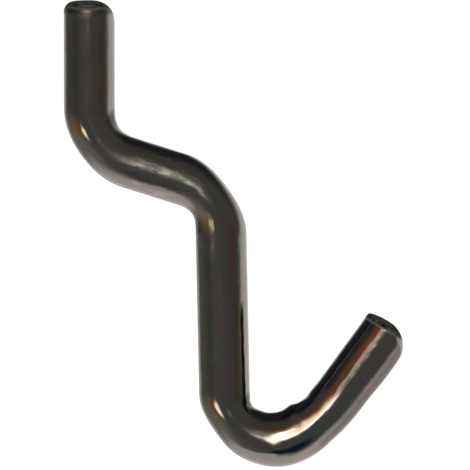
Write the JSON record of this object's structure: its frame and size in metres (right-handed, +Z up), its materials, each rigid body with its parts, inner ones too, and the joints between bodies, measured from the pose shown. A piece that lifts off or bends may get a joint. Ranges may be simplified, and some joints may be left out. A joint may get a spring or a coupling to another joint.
{
  "type": "pegboard hook",
  "caption": "Pegboard hook bent from one round rod, with an upright stub that holds behind the board and an open J-shaped hook in front.",
  "frame": {"origin": "on the rod's centre line, halfway along the short arm, in the middle of the board's hole", "axes": "+X out from the board towards the user, +Y along the board, +Z up; the whole hook lies in the XZ plane"},
  "size_m": [0.0397, 0.0066, 0.0551],
  "materials": {
    "dark_plated_steel": "glossy dark plating"
  },
  "bodies": {
    "root": {"hook_rod": "dark_plated_steel"}
  },
  "joints": []
}
